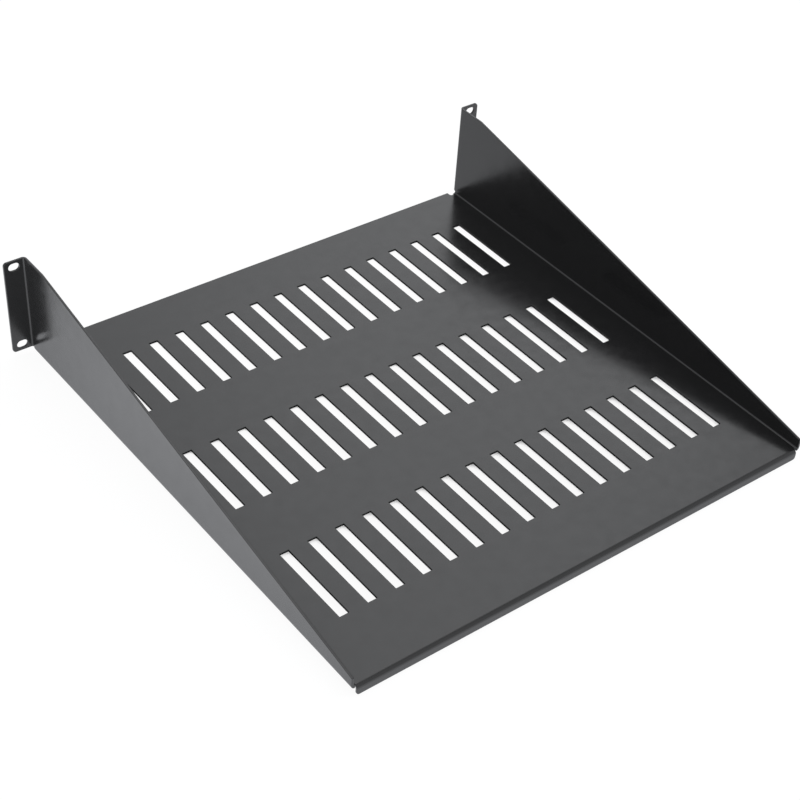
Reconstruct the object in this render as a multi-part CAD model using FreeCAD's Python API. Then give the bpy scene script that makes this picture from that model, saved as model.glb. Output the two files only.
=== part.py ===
import FreeCAD, Part
import math
import os

# Cantilever rack shelf, 2 rack units high, folded from one steel sheet. Millimetres.
# X runs across the rack, Y from the rack's rails to the back of the shelf, and Z is up.
# The origin is the middle of the four screw slots, on the ears' rear faces, which meet the rails.

# Sheet and its folds
sheet = 2.0
bend_inside = 1.5

# Sizes that the rack sets
rack_units = 2
unit_height = 44.45
height_clearance = 0.8
screw_span = 465.1
screw_from_unit_edge = 6.35

# Ears
screw_slot_length = 9.5
screw_slot_width = 7.0
screw_to_ear_end = 8.75
screw_to_side = 9.05
ear_corner = 3.0
fold_to_ear = 0.5

# Tray, from the ears' front faces to the back of its rear lip
tray_depth = 450.0
lip_drop = 9.0
lip_corner = 2.5
fold_to_lip_end = 0.5

# Reliefs with round ends, which part the tray's front edge from the fold at each side
relief_width = 4.0
relief_depth = 5.0
fold_to_relief = 0.5

# Side panels, level for a short way and then sloping down to the back
panel_level = 28.0
panel_rear_height = 9.5

# Vent slots, with the margins from the tray's outline to the outermost slots
vent_width = 8.0
vent_length = 75.5
vent_columns = 16
vent_rows = 3
vent_side_margin = 32.0
vent_front_margin = 48.0
vent_back_margin = 59.5

# How far a cutting shape runs past the faces that it goes through
overrun = 5.0

# Corners of an outline that lie closer than this are one point
same_point = 1e-6

# Places that follow from the sizes above
fold_outside = bend_inside + sheet
ear_front = -sheet
ear_back = 0.0
ear_top = (rack_units * unit_height - height_clearance) / 2
ear_bottom = -ear_top
ear_end = screw_span / 2 + screw_to_ear_end
screw_rise = rack_units * unit_height - 2 * screw_from_unit_edge
side = screw_span / 2 - screw_to_side
side_inner = side - sheet
tray_top = ear_bottom - bend_inside - fold_to_ear
tray_underside = tray_top - sheet
tray_back = ear_front + tray_depth
relief_side = side - fold_outside - fold_to_relief
front_edge_end = relief_side - relief_width
lip_end = side - fold_outside - fold_to_lip_end
lip_bottom = tray_top - lip_drop
panel_front = ear_front + fold_outside
panel_back = tray_back - fold_outside
panel_rear_top = tray_top + panel_rear_height


def place(plane, a, b, depth):
    """Point of an outline that lies in the named plane, at a depth along the third axis."""
    if plane == "XZ":
        return FreeCAD.Vector(a, depth, b)
    if plane == "YZ":
        return FreeCAD.Vector(depth, a, b)
    return FreeCAD.Vector(a, b, depth)


def prism(plane, corners, start, end):
    """Solid between two depths, from an outline whose corners are (a, b, rounding radius)."""
    turns = []
    for i, (a, b, radius) in enumerate(corners):
        here = place(plane, a, b, start)
        if radius == 0:
            turns.append((here, None, here))
            continue
        before = corners[i - 1]
        after = corners[(i + 1) % len(corners)]
        to_before = (place(plane, before[0], before[1], start) - here).normalize()
        to_after = (place(plane, after[0], after[1], start) - here).normalize()
        half_angle = to_before.getAngle(to_after) / 2
        reach = radius / math.tan(half_angle)
        inward = (to_before + to_after).normalize()
        halfway = here + inward * (radius / math.sin(half_angle) - radius)
        turns.append((here + to_before * reach, halfway, here + to_after * reach))

    edges = []
    for i, (first, halfway, last) in enumerate(turns):
        previous = turns[i - 1][2]
        if previous.distanceToPoint(first) > same_point:
            edges.append(Part.makeLine(previous, first))
        if halfway is not None:
            edges.append(Part.Arc(first, halfway, last).toShape())
    face = Part.Face(Part.Wire(edges))
    return face.extrude(place(plane, 0, 0, end - start))


def make_channel():
    """Tray and both side panels, as a channel with one long fold along each side."""
    channel = prism("XZ", [
        (-side, ear_top, 0),
        (-side, tray_underside, fold_outside),
        (side, tray_underside, fold_outside),
        (side, ear_top, 0),
        (side_inner, ear_top, 0),
        (side_inner, tray_top, bend_inside),
        (-side_inner, tray_top, bend_inside),
        (-side_inner, ear_top, 0),
    ], panel_front, panel_back)

    above_slope = prism("YZ", [
        (panel_level, ear_top, 0),
        (panel_back, panel_rear_top, 0),
        (panel_back + overrun, panel_rear_top, 0),
        (panel_back + overrun, ear_top + overrun, 0),
        (panel_level, ear_top + overrun, 0),
    ], -side - overrun, side + overrun)
    return channel.cut(above_slope)


def make_front_edge():
    """Front of the tray, which reaches forward between the ears' folds to a plain cut edge."""
    return prism("XY", [
        (-front_edge_end, ear_front, 0),
        (front_edge_end, ear_front, 0),
        (front_edge_end, panel_front, 0),
        (-front_edge_end, panel_front, 0),
    ], tray_underside, tray_top)


def make_reliefs():
    """Round-ended cuts beside the two ends of the tray's front edge."""
    end_radius = relief_width / 2
    reliefs = []
    for hand in (-1, 1):
        reliefs.append(prism("XY", [
            (hand * front_edge_end, ear_front - overrun, 0),
            (hand * relief_side, ear_front - overrun, 0),
            (hand * relief_side, ear_front + relief_depth, end_radius),
            (hand * front_edge_end, ear_front + relief_depth, end_radius),
        ], tray_underside - overrun, tray_top + overrun))
    return reliefs


def make_rear_lip():
    """Back of the tray, with the lip folded down along its edge."""
    strip = prism("YZ", [
        (panel_back, tray_top, 0),
        (tray_back, tray_top, fold_outside),
        (tray_back, lip_bottom, 0),
        (tray_back - sheet, lip_bottom, 0),
        (tray_back - sheet, tray_underside, bend_inside),
        (panel_back, tray_underside, 0),
    ], -lip_end, lip_end)

    seen_from_behind = prism("XZ", [
        (-lip_end, tray_top, 0),
        (-lip_end, lip_bottom, lip_corner),
        (lip_end, lip_bottom, lip_corner),
        (lip_end, tray_top, 0),
    ], panel_back, tray_back)
    return strip.common(seen_from_behind)


def make_ear(hand):
    """Ear folded outward from a side panel's front edge, at +X or -X as hand (+1 or -1) says."""
    ear = prism("XY", [
        (hand * side_inner, panel_front, 0),
        (hand * side_inner, ear_front, fold_outside),
        (hand * ear_end, ear_front, 0),
        (hand * ear_end, ear_back, 0),
        (hand * side, ear_back, bend_inside),
        (hand * side, panel_front, 0),
    ], ear_bottom, ear_top)

    seen_from_front = prism("XZ", [
        (hand * side_inner, ear_bottom, 0),
        (hand * ear_end, ear_bottom, ear_corner),
        (hand * ear_end, ear_top, ear_corner),
        (hand * side_inner, ear_top, 0),
    ], ear_front, panel_front)
    return ear.common(seen_from_front)


def make_screw_slots():
    """Oval slots through the ears, near the top and the bottom of each."""
    end_radius = screw_slot_width / 2
    slots = []
    for middle_x in (-screw_span / 2, screw_span / 2):
        for middle_z in (-screw_rise / 2, screw_rise / 2):
            left = middle_x - screw_slot_length / 2
            right = middle_x + screw_slot_length / 2
            low = middle_z - end_radius
            high = middle_z + end_radius
            slots.append(prism("XZ", [
                (left, low, end_radius),
                (right, low, end_radius),
                (right, high, end_radius),
                (left, high, end_radius),
            ], ear_front - overrun, ear_back + overrun))
    return slots


def make_vents():
    """Long square-ended slots through the tray, spread evenly between the margins."""
    left = -side + vent_side_margin
    across = 2 * (side - vent_side_margin) - vent_width
    front = ear_front + vent_front_margin
    along = tray_back - vent_back_margin - vent_length - front
    depth = sheet + 2 * overrun
    vents = []
    for row in range(vent_rows):
        y = front + along * row / (vent_rows - 1)
        for column in range(vent_columns):
            x = left + across * column / (vent_columns - 1)
            corner = FreeCAD.Vector(x, y, tray_underside - overrun)
            vents.append(Part.makeBox(vent_width, vent_length, depth, corner))
    return vents


def make_shelf():
    """Whole folded sheet, with the reliefs, the screw slots and the vent slots cut through it."""
    folded = make_channel().fuse([make_front_edge(), make_rear_lip(), make_ear(+1), make_ear(-1)])
    return folded.removeSplitter().cut(make_reliefs() + make_screw_slots() + make_vents())


os.makedirs("parts", exist_ok=True)
shelf = make_shelf()
shelf.exportStep("parts/shelf.step")
print("shelf:", len(shelf.Solids), "solid, valid", shelf.isValid(), "volume", round(shelf.Volume), "mm3")
print(shelf.BoundBox)
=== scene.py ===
import bpy
import bmesh
import math
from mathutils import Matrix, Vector


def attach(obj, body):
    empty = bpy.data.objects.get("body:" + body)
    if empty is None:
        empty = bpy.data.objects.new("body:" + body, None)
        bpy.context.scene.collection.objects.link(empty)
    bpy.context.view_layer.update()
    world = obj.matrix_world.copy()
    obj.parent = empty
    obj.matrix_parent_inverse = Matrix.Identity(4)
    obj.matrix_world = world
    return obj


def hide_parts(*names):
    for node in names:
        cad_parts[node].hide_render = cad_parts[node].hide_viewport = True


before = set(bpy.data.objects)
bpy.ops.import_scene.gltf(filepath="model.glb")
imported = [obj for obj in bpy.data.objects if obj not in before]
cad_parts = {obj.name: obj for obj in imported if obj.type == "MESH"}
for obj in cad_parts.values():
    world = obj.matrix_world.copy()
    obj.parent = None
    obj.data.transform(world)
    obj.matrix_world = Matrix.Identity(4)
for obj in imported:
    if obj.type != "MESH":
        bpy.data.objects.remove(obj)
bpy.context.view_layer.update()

mm = 0.001


# node with its input values and its settings
def addNode(tree, kind, values=None, **settings):
    node = tree.nodes.new(kind)
    for name, value in settings.items():
        setattr(node, name, value)
    for name, value in (values or {}).items():
        node.inputs[name].default_value = value
    return node


def wire(tree, source, output, target, socket):
    tree.links.new(source.outputs[output], target.inputs[socket])


# Black powder coat: dark and semi-gloss, with a fine grain and a slow ripple. Heights in metres.
coat = {
    "dark": (0.0058, 0.0058, 0.006, 1),
    "light": (0.0092, 0.0092, 0.0096, 1),
    "cloud": {"Scale": 38, "Detail": 4, "Roughness": 0.6},
    "patchy": {"Scale": 90, "Detail": 5, "Roughness": 0.55},
    "patchyRange": (0.3, 0.7),
    "rough": (0.18, 0.27),
    "ior": 1.7,
    "ripple": {"Scale": 7, "Detail": 1},          # slow waves of the rolled sheet
    "rippleHeight": 0.00008,
    "peel": {"Scale": 260, "Detail": 2},          # orange peel, about 4 mm
    "peelHeight": 0.000005,
    "grain": {"Scale": 1700, "Detail": 2},        # grains of about half a millimetre
    "grainHeight": 0.000004,
}


def makePowderCoat():
    material = bpy.data.materials.new("blackPowderCoat")
    material.use_nodes = True
    tree = material.node_tree
    tree.nodes.clear()
    out = addNode(tree, "ShaderNodeOutputMaterial")
    skin = addNode(tree, "ShaderNodeBsdfPrincipled", {"IOR": coat["ior"]})
    wire(tree, skin, "BSDF", out, "Surface")
    place = addNode(tree, "ShaderNodeTexCoord")

    # cloudy colour, barely there
    cloud = addNode(tree, "ShaderNodeTexNoise", coat["cloud"])
    tint = addNode(tree, "ShaderNodeMix", data_type="RGBA")
    tint.inputs["A"].default_value = coat["dark"]
    tint.inputs["B"].default_value = coat["light"]
    wire(tree, place, "Object", cloud, "Vector")
    wire(tree, cloud, "Fac", tint, "Factor")
    tree.links.new(tint.outputs["Result"], skin.inputs["Base Color"])

    # gloss wanders a little over the sheet
    patchy = addNode(tree, "ShaderNodeTexNoise", coat["patchy"])
    before, after = coat["patchyRange"], coat["rough"]
    gloss = addNode(tree, "ShaderNodeMapRange", {
        "From Min": before[0], "From Max": before[1], "To Min": after[0], "To Max": after[1]})
    wire(tree, place, "Object", patchy, "Vector")
    wire(tree, patchy, "Fac", gloss, "Value")
    wire(tree, gloss, "Result", skin, "Roughness")

    # three bumps, each on top of the one before
    last = None
    for name in ("ripple", "peel", "grain"):
        noise = addNode(tree, "ShaderNodeTexNoise", coat[name])
        bump = addNode(tree, "ShaderNodeBump", {"Strength": 1, "Distance": coat[name + "Height"]})
        wire(tree, place, "Object", noise, "Vector")
        wire(tree, noise, "Fac", bump, "Height")
        if last:
            wire(tree, last, "Normal", bump, "Normal")
        last = bump
    wire(tree, last, "Normal", skin, "Normal")
    return material


powderCoat = makePowderCoat()
print("powder coat ready")


# The folded sheet, as the surface in the middle of its thickness. Millimetres.
sheet = {
    "thick": 2.0,
    "bend": 2.5,             # bend radius at mid thickness
    "bendSteps": 10,
    "edge": 0.4,             # how far the coat rounds the cut edges
    "edgeSteps": 3,
    "edgeAngle": 40,         # turns sharper than this are cut edges, in degrees
}
tray = {
    "z": -47.05,
    "foldX": 220.0,          # where the side folds start
    "front": -2.0,
    "behindRelief": 6.0,     # first line across the tray behind the reliefs
    "ventRows": ((46, 121.5), (179.5, 255), (313, 388.5)),
    "ventPitch": 25.0,
    "ventHalf": 4.0,
    "ventCount": 16,
}
# round-ended cuts beside the tray's front edge
relief = {
    "inner": 215.5,
    "middle": 217.5,
    "radius": 2.0,
    "end": 3.0,
    "steps": 8,
    "mouthClear": 0.2,       # no point of the round end lies closer than this to the side fold's corner
}
lip = {
    "foldY": 444.5,          # where the bend starts
    "end": 219.5,
    "bottom": -55.05,
    "corner": 2.5,
    "cornerSteps": 10,
}
panel = {
    "x": 222.5,
    "foot": -44.05,
    "top": 44.05,
    "front": 1.5,
    "kink": 28.0,            # level up to here, then sloping down
    "backTop": -36.55,       # top of the slope where the lip's bend starts
    "back": 446.8,           # the panel and its fold run on past the start of the lip's bend
}
ear = {
    "y": -1.0,
    "end": 241.3,
    "corner": 3.0,
    "slotX": 232.55,
    "slotZ": 38.1,
    "slotHalf": 4.75,
    "slotRadius": 3.5,
    "roundSteps": 10,
}


# points of the arc between two points about a centre, both ends in
def quarterTurn(first, centre, last, steps):
    first, centre, last = Vector(first), Vector(centre), Vector(last)
    across, along = first - centre, last - centre
    turn = [math.pi / 2 * i / steps for i in range(steps + 1)]
    return [centre + across * math.cos(a) + along * math.sin(a) for a in turn]


# height of a side panel's top edge
def topOfPanel(y):
    if y <= panel["kink"]:
        return panel["top"]
    share = (y - panel["kink"]) / (lip["foldY"] - panel["kink"])
    return panel["top"] + (panel["backTop"] - panel["top"]) * share


# middle surface of the whole sheet: tray first, then the lip and the two sides
def makeSheet():
    bm = bmesh.new()
    known = {}

    # one vertex for each place
    def corner(p):
        key = tuple(round(v, 3) for v in p)
        if key not in known:
            known[key] = bm.verts.new(Vector(key) * mm)
        return known[key]

    def face(*points):
        bm.faces.new([corner(p) for p in points])

    # quads between two rows of points
    def strip(first, second):
        for i in range(len(first) - 1):
            face(first[i], first[i + 1], second[i + 1], second[i])

    # lines across and along the tray
    vents = []
    for i in range(tray["ventCount"]):
        middle = (i - (tray["ventCount"] - 1) / 2) * tray["ventPitch"]
        vents.append((middle - tray["ventHalf"], middle + tray["ventHalf"]))
    xs = [x for vent in vents for x in vent]
    for x in (tray["foldX"], lip["end"], lip["end"] - lip["corner"], relief["inner"]):
        xs += [-x, x]
    xs = sorted(xs)
    ys = [tray["behindRelief"], panel["kink"], lip["foldY"]]
    ys = sorted(ys + [y for row in tray["ventRows"] for y in row])

    def isVent(x, y):
        inRow = any(a < y < b for a, b in tray["ventRows"])
        return inRow and any(a < x < b for a, b in vents)

    # flat of the tray
    for x0, x1 in zip(xs, xs[1:]):
        for y0, y1 in zip(ys, ys[1:]):
            if not isVent((x0 + x1) / 2, (y0 + y1) / 2):
                z = tray["z"]
                face((x0, y0, z), (x1, y0, z), (x1, y1, z), (x0, y1, z))

    # front edge, between the reliefs, and the two corners behind their round ends
    z = tray["z"]
    front = [x for x in xs if abs(x) <= relief["inner"]]
    turn = relief["end"] - relief["radius"]
    strip([(x, tray["front"], z) for x in front], [(x, turn, z) for x in front])
    strip([(x, turn, z) for x in front], [(x, tray["behindRelief"], z) for x in front])
    middle = relief["middle"]
    mouthX = middle + math.sqrt(relief["radius"] ** 2 - (panel["front"] - turn) ** 2)
    for hand in (-1, 1):
        outline = quarterTurn((relief["inner"], turn, z), (middle, turn, z),
                              (middle, relief["end"], z), relief["steps"])
        outline += quarterTurn((middle, relief["end"], z), (middle, turn, z),
                               (middle + relief["radius"], turn, z), relief["steps"])[1:-1]
        mouth = panel["front"] + relief["mouthClear"]
        outline = [(p[0], p[1], z) for p in outline if p[0] < middle or p[1] > mouth]
        outline += [(mouthX, panel["front"], z), (tray["foldX"], panel["front"], z)]
        outline += [(x, tray["behindRelief"], z) for x in reversed(xs) if x >= relief["inner"]]
        outline = [(hand * px, py, pz) for px, py, pz in outline]
        face(*(outline if hand > 0 else outline[::-1]))

    # rear lip: flat, fold, then the drop with its two rounded corners
    back = [x for x in xs if abs(x) <= lip["end"]]
    radius = sheet["bend"]
    low = tray["z"] - radius
    rows = []
    for p in quarterTurn((0, lip["foldY"], tray["z"]), (0, lip["foldY"], low),
                         (0, lip["foldY"] + radius, low), sheet["bendSteps"]):
        rows.append((p.y, p.z))
    cornerTop = lip["bottom"] + lip["corner"]
    rows.append((lip["foldY"] + radius, cornerTop))
    for (y0, z0), (y1, z1) in zip(rows, rows[1:]):
        strip([(x, y0, z0) for x in back], [(x, y1, z1) for x in back])
    y = lip["foldY"] + radius
    inner = back[1:-1]
    strip([(x, y, cornerTop) for x in inner], [(x, y, lip["bottom"]) for x in inner])
    for hand in (-1, 1):
        x = hand * (lip["end"] - lip["corner"])
        outline = quarterTurn((x, y, lip["bottom"]), (x, y, cornerTop),
                              (hand * lip["end"], y, cornerTop), lip["cornerSteps"])
        if hand > 0:
            outline = outline[::-1]
        face((x, y, cornerTop), *outline)

    # both sides: fold, panel, fold and ear
    for hand in (-1, 1):
        # face on this side, turned so that both sides wind the same way
        def faceOn(*points):
            points = [(hand * p[0], p[1], p[2]) for p in points]
            face(*(points if hand > 0 else points[::-1]))

        centre = (tray["foldX"], 0, tray["z"] + radius)
        arc = quarterTurn((tray["foldX"], 0, tray["z"]), centre,
                          (panel["x"], 0, tray["z"] + radius), sheet["bendSteps"])
        profile = [(p.x, p.z) for p in arc] + [(panel["x"], panel["foot"])]
        # the fold's first step ends beside the lip, the rest runs on
        short = [panel["front"]] + ys
        along = short + [panel["back"]]
        for i, ((xa, za), (xb, zb)) in enumerate(zip(profile, profile[1:])):
            reached = along if i else short
            for y0, y1 in zip(reached, reached[1:]):
                faceOn((xa, y0, za), (xb, y0, zb), (xb, y1, zb), (xa, y1, za))

        x = panel["x"]
        foot = panel["foot"]
        for y0, y1 in zip(along, along[1:]):
            faceOn((x, y0, foot), (x, y0, topOfPanel(y0)), (x, y1, topOfPanel(y1)), (x, y1, foot))

        start = panel["x"] + radius
        bend = quarterTurn((panel["x"], panel["front"], 0), (start, panel["front"], 0),
                           (start, ear["y"], 0), sheet["bendSteps"])
        for a, b in zip(bend, bend[1:]):
            faceOn((a.x, a.y, foot), (b.x, b.y, foot),
                   (b.x, b.y, panel["top"]), (a.x, a.y, panel["top"]))

        # the ear is two faces that meet on the line through its slots
        y = ear["y"]
        midX = ear["slotX"]
        r = ear["slotRadius"]
        reach = ear["slotHalf"] - r
        for side in (-1, 1):
            line = [(midX, y, foot)]
            for z in (-ear["slotZ"], ear["slotZ"]):
                end = midX + side * reach
                line += [(midX, y, z - r)]
                line += quarterTurn((end, y, z - r), (end, y, z), (end + side * r, y, z),
                                    ear["roundSteps"])
                line += quarterTurn((end + side * r, y, z), (end, y, z), (end, y, z + r),
                                    ear["roundSteps"])[1:]
                line += [(midX, y, z + r)]
            line += [(midX, y, panel["top"])]
            if side < 0:
                line += [(start, y, panel["top"]), (start, y, foot)]
            else:
                c, e = ear["corner"], ear["end"]
                line += quarterTurn((e - c, y, panel["top"]), (e - c, y, panel["top"] - c),
                                    (e, y, panel["top"] - c), ear["roundSteps"])
                line += quarterTurn((e, y, foot + c), (e - c, y, foot + c), (e - c, y, foot),
                                    ear["roundSteps"])
            faceOn(*(line if side < 0 else line[::-1]))

    bmesh.ops.recalc_face_normals(bm, faces=bm.faces)
    mesh = bpy.data.meshes.new("foldedSheet")
    bm.to_mesh(mesh)
    bm.free()
    mesh.polygons.foreach_set("use_smooth", [True] * len(mesh.polygons))
    return mesh


# thickness, rounded cut edges and coat
def dressSheet():
    piece = bpy.data.objects.new("foldedSheet", makeSheet())
    bpy.context.scene.collection.objects.link(piece)
    piece.data.materials.append(powderCoat)

    thicken = piece.modifiers.new("thickness", "SOLIDIFY")
    thicken.thickness = sheet["thick"] * mm
    thicken.offset = 0
    thicken.use_even_offset = True

    soften = piece.modifiers.new("coatedEdges", "BEVEL")
    soften.width = sheet["edge"] * mm
    soften.segments = sheet["edgeSteps"]
    soften.limit_method = "ANGLE"
    soften.angle_limit = math.radians(sheet["edgeAngle"])
    soften.use_clamp_overlap = False

    flatten = piece.modifiers.new("flatShading", "WEIGHTED_NORMAL")
    flatten.keep_sharp = True

    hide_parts("shelf")
    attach(piece, "root")
    return piece


shelf = dressSheet()
print("folded sheet:", len(shelf.data.polygons), "faces before its thickness")


# Pale floor, which touches the lip's lower edge and the tray's front edge
stand = {
    "half": 20.0,
    "back": (0.448, -0.05505),   # y and z where it touches, in metres
    "front": (-0.002, -0.04805),
    "below": 0.0001,
    "colour": (0.88, 0.88, 0.885, 1),
    "white": 1.03,
    "seenShare": 0.9,            # plain white as it is seen, the rest takes the shadow
    "mirrorShare": 0.85,
    "mirrorColour": (0.948, 0.964, 1.0, 1),
    "mirrorPaintedFalloff": ((-0.20, 0.65), (0.86, 1.32)),    # mirrored level over x + y, a painted light falloff
    "paintedShadeFront": ((-0.03, 0.10), (0.9, 1.0)),      # its share over y, near the ears: painted shade in front
    "paintedShadeBehind": ((0.41, 0.455), (1.0, 0.80)),    # and past the lip: painted shade behind
    "paintedShadeBeside": ((0.0, 0.04), (0.93, 1.07)),     # and over the way out from the side panels: painted contact shade by the panels
    "shadeReach": 0.05,
    "shadeSamples": 16,
    "shadeOpen": (0.03, 0.09),   # open share of the sky from which the floor turns plain white
    "paintedShadowHalf": 0.2235,       # ground under the tray, with a painted shadow where it is mirrored
    # width of the painted shadow's soft edge
    "paintedShadowSoft": 0.02,
}


# smooth step from one range to another
def mapRange(tree, source, before, after):
    node = addNode(tree, "ShaderNodeMapRange", {
        "From Min": before[0], "From Max": before[1], "To Min": after[0], "To Max": after[1]},
        interpolation_type="SMOOTHSTEP")
    tree.links.new(source, node.inputs["Value"])
    return node.outputs["Result"]


# one step of arithmetic on sockets and plain numbers
def calculate(tree, operation, *parts):
    node = addNode(tree, "ShaderNodeMath", operation=operation)
    for i, part in enumerate(parts):
        if isinstance(part, (int, float)):
            node.inputs[i].default_value = part
        else:
            tree.links.new(part, node.inputs[i])
    return node.outputs[0]


# rays that are seen or passed through, as 1 or 0
def straightRay(tree, rays):
    seen, passed = rays.outputs["Is Camera Ray"], rays.outputs["Is Transmission Ray"]
    return calculate(tree, "MAXIMUM", seen, passed)


# level of the mirrored floor, with painted shade: a painted shadow under the tray, painted dimming in
# front, behind and by the panels, and a painted light falloff over x + y
def paintedMirrorShade(tree):
    place = addNode(tree, "ShaderNodeNewGeometry")
    parts = addNode(tree, "ShaderNodeSeparateXYZ")
    wire(tree, place, "Position", parts, 0)
    x, y = parts.outputs["X"], parts.outputs["Y"]
    beside = calculate(tree, "SUBTRACT", calculate(tree, "ABSOLUTE", x), stand["paintedShadowHalf"])
    behind = calculate(tree, "SUBTRACT", y, stand["back"][0])
    before = calculate(tree, "SUBTRACT", stand["front"][0], y)
    outside = calculate(tree, "MAXIMUM", beside, calculate(tree, "MAXIMUM", behind, before))
    # painted shadow over the tray's footprint, soft at its edge
    clear = mapRange(tree, outside, (-stand["paintedShadowSoft"], 0), (0, 1))
    # painted light falloff over x + y, then painted shade in front, behind and by the panels
    across = mapRange(tree, calculate(tree, "ADD", x, y), *stand["mirrorPaintedFalloff"])
    level = calculate(tree, "MULTIPLY", across, mapRange(tree, y, *stand["paintedShadeFront"]))
    level = calculate(tree, "MULTIPLY", level, mapRange(tree, y, *stand["paintedShadeBehind"]))
    level = calculate(tree, "MULTIPLY", level, mapRange(tree, beside, *stand["paintedShadeBeside"]))
    return calculate(tree, "MULTIPLY", level, clear)


def makeFloor():
    (backY, backZ), (frontY, frontZ) = stand["back"], stand["front"]
    slope = (backZ - frontZ) / (backY - frontY)
    half = stand["half"]
    corners = []
    for x, y in ((-half, -half), (half, -half), (half, half), (-half, half)):
        corners.append((x, y, frontZ + slope * (y - frontY) - stand["below"]))
    mesh = bpy.data.meshes.new("floor")
    mesh.from_pydata(corners, [], [(0, 1, 2, 3)])
    floor = bpy.data.objects.new("floor", mesh)
    bpy.context.scene.collection.objects.link(floor)

    material = bpy.data.materials.new("whiteFloor")
    material.use_nodes = True
    tree = material.node_tree
    tree.nodes.clear()
    out = addNode(tree, "ShaderNodeOutputMaterial")
    rays = addNode(tree, "ShaderNodeLightPath")
    matt = addNode(tree, "ShaderNodeBsdfDiffuse", {"Color": stand["colour"]})

    # floor glow seen in mirrors, its strength carrying the painted shade and painted shadow
    mirrored = addNode(tree, "ShaderNodeEmission", {"Color": stand["mirrorColour"]})
    tree.links.new(paintedMirrorShade(tree), mirrored.inputs["Strength"])
    inMirror = addNode(tree, "ShaderNodeMixShader")
    mirrorPart = calculate(tree, "MULTIPLY", rays.outputs["Is Glossy Ray"], stand["mirrorShare"])
    tree.links.new(mirrorPart, inMirror.inputs[0])
    wire(tree, matt, 0, inMirror, 1)
    wire(tree, mirrored, 0, inMirror, 2)

    white = addNode(tree, "ShaderNodeEmission", {"Strength": stand["white"]})
    inView = addNode(tree, "ShaderNodeMixShader")
    cover = addNode(tree, "ShaderNodeAmbientOcclusion", {"Distance": stand["shadeReach"]},
                    samples=stand["shadeSamples"])
    uncovered = mapRange(tree, cover.outputs["AO"], stand["shadeOpen"], (0, stand["seenShare"]))
    tree.links.new(calculate(tree, "MULTIPLY", straightRay(tree, rays), uncovered), inView.inputs[0])
    wire(tree, inMirror, 0, inView, 1)
    wire(tree, white, 0, inView, 2)
    wire(tree, inView, 0, out, "Surface")
    floor.data.materials.append(material)


# Studio round the shelf: pale overhead on the side that the tray mirrors, dimmer low down
studio = {
    "colour": (0.965, 0.978, 1.0, 1),
    "light": 1.0,                  # level that lights the shelf and the floor
    "dim": 0.62,                   # mirrored level away from the pale parts
    "paleTo": (-128, 60),          # azimuth and height of the pale part, in degrees
    "paleCosine": (0.40, 0.95),
    "paleLevel": (0.0, 0.32),
    "windowTo": (-137, 40),
    "windowCosine": (0.95, 0.995),
    "windowLevel": (0.0, 0.40),
    "edgeTo": (-58, 0),            # both end at a soft edge, level with this direction
    "edgeCosine": (-0.06, 0.05),
    "edgeLevel": (-0.35, 1.0),
    "shadeTo": (-75, 60),          # darker part, which the side folds mirror
    "shadeCosine": (0.85, 0.97),
    "shadeLevel": (0.0, -0.45),
}


# direction from its azimuth and height
def aimAt(azimuth, height):
    azimuth, height = math.radians(azimuth), math.radians(height)
    flat = math.cos(height)
    return (flat * math.cos(azimuth), flat * math.sin(azimuth), math.sin(height))


# soft round patch on the sky
def skyPatch(tree, way, name):
    towards = aimAt(*studio[name + "To"])
    dot = addNode(tree, "ShaderNodeVectorMath", {1: towards}, operation="DOT_PRODUCT")
    wire(tree, way, "Generated", dot, 0)
    return mapRange(tree, dot.outputs["Value"], studio[name + "Cosine"], studio[name + "Level"])


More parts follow.
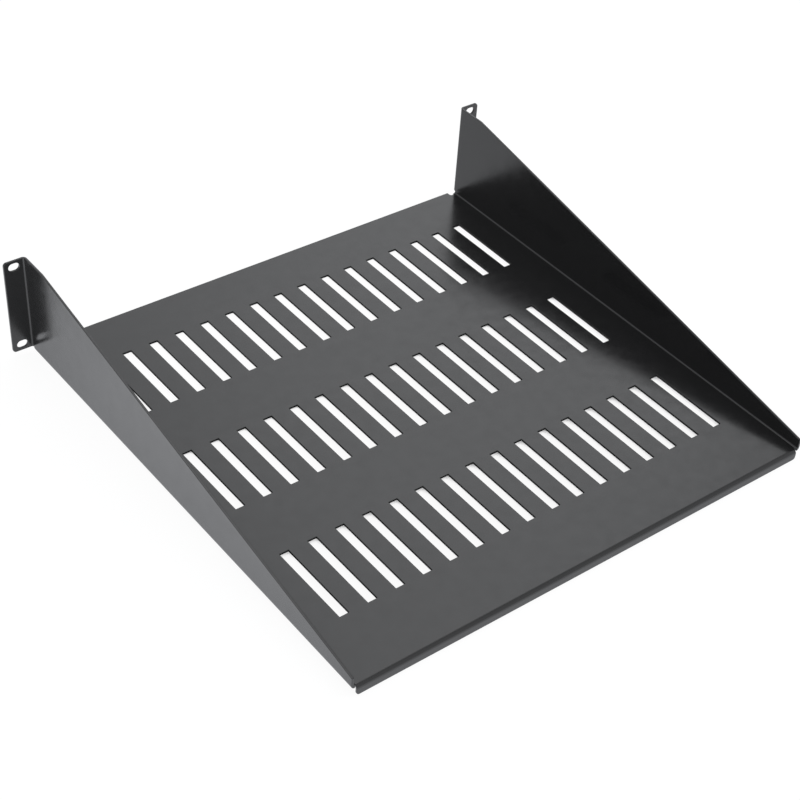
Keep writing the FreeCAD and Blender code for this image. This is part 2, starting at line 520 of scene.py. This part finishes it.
def makeWorld():
    world = bpy.data.worlds.new("studio")
    world.use_nodes = True
    tree = world.node_tree
    tree.nodes.clear()
    out = addNode(tree, "ShaderNodeOutputWorld")
    rays = addNode(tree, "ShaderNodeLightPath")
    way = addNode(tree, "ShaderNodeTexCoord")
    patches = calculate(tree, "ADD", skyPatch(tree, way, "pale"), skyPatch(tree, way, "window"))
    mirrored = calculate(tree, "MULTIPLY_ADD", patches, skyPatch(tree, way, "edge"), studio["dim"])
    mirrored = calculate(tree, "ADD", mirrored, skyPatch(tree, way, "shade"))

    # plain light first, then the mirrored studio, then plain white where it is seen
    glossy = addNode(tree, "ShaderNodeMix", {"A": studio["light"]}, data_type="FLOAT")
    wire(tree, rays, "Is Glossy Ray", glossy, 0)
    tree.links.new(mirrored, glossy.inputs["B"])
    air = addNode(tree, "ShaderNodeBackground", {"Color": studio["colour"]})
    tree.links.new(glossy.outputs["Result"], air.inputs["Strength"])
    white = addNode(tree, "ShaderNodeBackground", {"Color": (1, 1, 1, 1)})
    blend = addNode(tree, "ShaderNodeMixShader")
    tree.links.new(straightRay(tree, rays), blend.inputs[0])
    wire(tree, air, 0, blend, 1)
    wire(tree, white, 0, blend, 2)
    wire(tree, blend, 0, out, "Surface")
    bpy.context.scene.world = world


# Wide soft lamp overhead, weak, so that the floor's shadow has a side
softKey = {
    "place": (-0.4, -0.5, 3.4),
    "aim": (0, 0.2, 0),
    "size": 2.4,
    "power": 10,
}


def makeLamp():
    data = bpy.data.lights.new("softKey", "AREA")
    data.shape = "DISK"
    data.size = softKey["size"]
    data.energy = softKey["power"]
    lamp = bpy.data.objects.new("softKey", data)
    way = Vector(softKey["aim"]) - Vector(softKey["place"])
    lamp.location = softKey["place"]
    lamp.rotation_euler = way.to_track_quat("-Z", "Y").to_euler()
    bpy.context.scene.collection.objects.link(lamp)


makeFloor()
makeWorld()
makeLamp()
print("floor, world and lamp ready")


# Camera, from the fit to the photo's outlines
shot = {
    "place": (0.69516, 1.041, 0.8328),
    "turn": (48.5154, -3.8851, 142.0397),
    "lens": 76.3466,
    "sensor": 36,
    "shift": (-0.0375, 0.075),
    "near": 0.05,
    "far": 100,
}


def makeCamera():
    data = bpy.data.cameras.new("photoCamera")
    data.lens = shot["lens"]
    data.sensor_width = shot["sensor"]
    data.shift_x, data.shift_y = shot["shift"]
    data.clip_start = shot["near"]
    data.clip_end = shot["far"]
    camera = bpy.data.objects.new("photoCamera", data)
    camera.location = shot["place"]
    camera.rotation_euler = [math.radians(a) for a in shot["turn"]]
    bpy.context.scene.collection.objects.link(camera)
    bpy.context.scene.camera = camera


makeCamera()
bpy.context.scene.view_settings.view_transform = "Standard"
